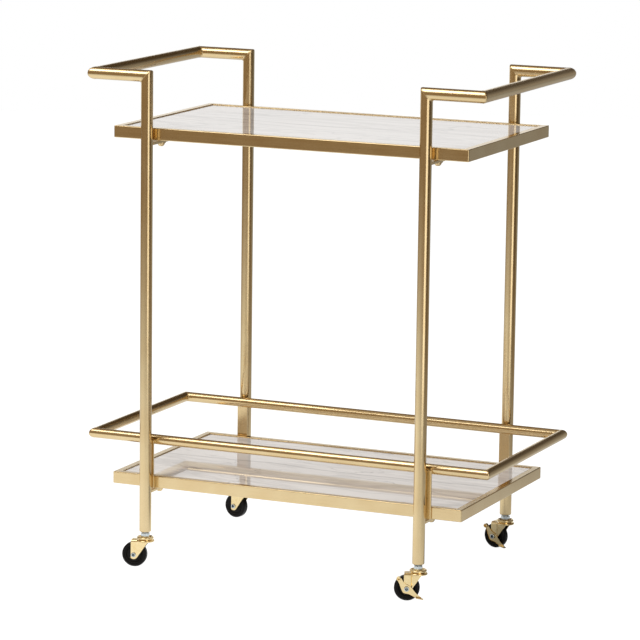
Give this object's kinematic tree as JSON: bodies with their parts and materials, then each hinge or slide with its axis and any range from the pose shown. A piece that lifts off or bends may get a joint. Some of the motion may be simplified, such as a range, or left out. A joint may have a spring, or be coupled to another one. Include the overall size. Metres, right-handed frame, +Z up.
{
  "type": "bar cart",
  "caption": "Bar cart on swivel casters: brass tube frame with loop handles, framed marble top, and a lower shelf inside a raised guard rail.",
  "frame": {"origin": "on the floor, under the middle of the cart", "axes": "+Z up, +X along the shelves towards the braked casters, -Y the front"},
  "size_m": [0.688, 0.4128, 0.794],
  "materials": {
    "satin_brass": "satin brass-plated steel tube, box section and strip, fine linear brush marks",
    "polished_marble": "opaque polished off-white marble with faint grey veins",
    "brass_plate": "bright brass-plated pressed steel",
    "zinc_plate": "bright zinc-plated steel hardware",
    "black_wheel": "black moulded wheel, satin"
  },
  "bodies": {
    "cart": {"upright_front_left": "satin_brass", "upright_front_right": "satin_brass", "upright_rear_left": "satin_brass", "upright_rear_right": "satin_brass", "handle_arm_front_left": "satin_brass", "handle_arm_front_right": "satin_brass", "handle_arm_rear_left": "satin_brass", "handle_arm_rear_right": "satin_brass", "handle_grip_left": "satin_brass", "handle_grip_right": "satin_brass", "top_frame_front": "satin_brass", "top_frame_rear": "satin_brass", "top_frame_left": "satin_brass", "top_frame_right": "satin_brass", "top_panel": "polished_marble", "top_crossbar_left": "satin_brass", "top_crossbar_right": "satin_brass", "top_bolt_front_left": "satin_brass", "top_bolt_front_right": "satin_brass", "top_bolt_rear_left": "satin_brass", "top_bolt_rear_right": "satin_brass", "lower_frame_front": "satin_brass", "lower_frame_rear": "satin_brass", "lower_frame_left": "satin_brass", "lower_frame_right": "satin_brass", "lower_panel": "polished_marble", "lower_crossbar_left": "satin_brass", "lower_crossbar_right": "satin_brass", "lower_bolt_front_left": "satin_brass", "lower_bolt_front_right": "satin_brass", "lower_bolt_rear_left": "satin_brass", "lower_bolt_rear_right": "satin_brass", "guard_rail_front": "satin_brass", "guard_rail_rear": "satin_brass", "guard_rail_left": "satin_brass", "guard_rail_right": "satin_brass", "guard_post_front_left": "satin_brass", "guard_post_front_right": "satin_brass", "guard_post_rear_left": "satin_brass", "guard_post_rear_right": "satin_brass", "caster_stem_front_left": "zinc_plate", "caster_stem_front_right": "zinc_plate", "caster_stem_rear_left": "zinc_plate", "caster_stem_rear_right": "zinc_plate"},
    "swivel_front_left": {"caster_fork_front_left": "brass_plate", "caster_axle_front_left": "zinc_plate"},
    "wheel_front_left": {"caster_wheel_front_left": "black_wheel"},
    "swivel_front_right": {"caster_fork_front_right": "brass_plate", "caster_axle_front_right": "zinc_plate"},
    "wheel_front_right": {"caster_wheel_front_right": "black_wheel"},
    "brake_front_right": {"brake_lever_front_right": "brass_plate"},
    "swivel_rear_left": {"caster_fork_rear_left": "brass_plate", "caster_axle_rear_left": "zinc_plate"},
    "wheel_rear_left": {"caster_wheel_rear_left": "black_wheel"},
    "swivel_rear_right": {"caster_fork_rear_right": "brass_plate", "caster_axle_rear_right": "zinc_plate"},
    "wheel_rear_right": {"caster_wheel_rear_right": "black_wheel"},
    "brake_rear_right": {"brake_lever_rear_right": "brass_plate"}
  },
  "joints": [
    {"name": "swivel_front_left", "type": "hinge", "parent": "cart", "child": "swivel_front_left", "pos_m": [-0.235, -0.186, 0.045], "axis": [0, 0, 1], "continuous": true},
    {"name": "spin_front_left", "type": "hinge", "parent": "swivel_front_left", "child": "wheel_front_left", "pos_m": [-0.25156, -0.18982, 0.02], "axis": [0.225, -0.9744, 0], "continuous": true},
    {"name": "swivel_front_right", "type": "hinge", "parent": "cart", "child": "swivel_front_right", "pos_m": [0.235, -0.186, 0.045], "axis": [0, 0, 1], "continuous": true},
    {"name": "spin_front_right", "type": "hinge", "parent": "swivel_front_right", "child": "wheel_front_right", "pos_m": [0.21913, -0.19209, 0.02], "axis": [0.3584, -0.9336, 0], "continuous": true},
    {"name": "brake_front_right", "type": "hinge", "parent": "swivel_front_right", "child": "brake_front_right", "pos_m": [0.21913, -0.19209, 0.02], "axis": [0.3584, -0.9336, 0], "range_deg": [0, 25]},
    {"name": "swivel_rear_left", "type": "hinge", "parent": "cart", "child": "swivel_rear_left", "pos_m": [-0.235, 0.186, 0.045], "axis": [0, 0, 1], "continuous": true},
    {"name": "spin_rear_left", "type": "hinge", "parent": "swivel_rear_left", "child": "wheel_rear_left", "pos_m": [-0.25174, 0.18895, 0.02], "axis": [-0.1736, -0.9848, 0], "continuous": true},
    {"name": "swivel_rear_right", "type": "hinge", "parent": "cart", "child": "swivel_rear_right", "pos_m": [0.235, 0.186, 0.045], "axis": [0, 0, 1], "continuous": true},
    {"name": "spin_rear_right", "type": "hinge", "parent": "swivel_rear_right", "child": "wheel_rear_right", "pos_m": [0.21837, 0.18953, 0.02], "axis": [-0.2079, -0.9781, 0], "continuous": true},
    {"name": "brake_rear_right", "type": "hinge", "parent": "swivel_rear_right", "child": "brake_rear_right", "pos_m": [0.21837, 0.18953, 0.02], "axis": [-0.2079, -0.9781, 0], "range_deg": [0, 25]}
  ]
}
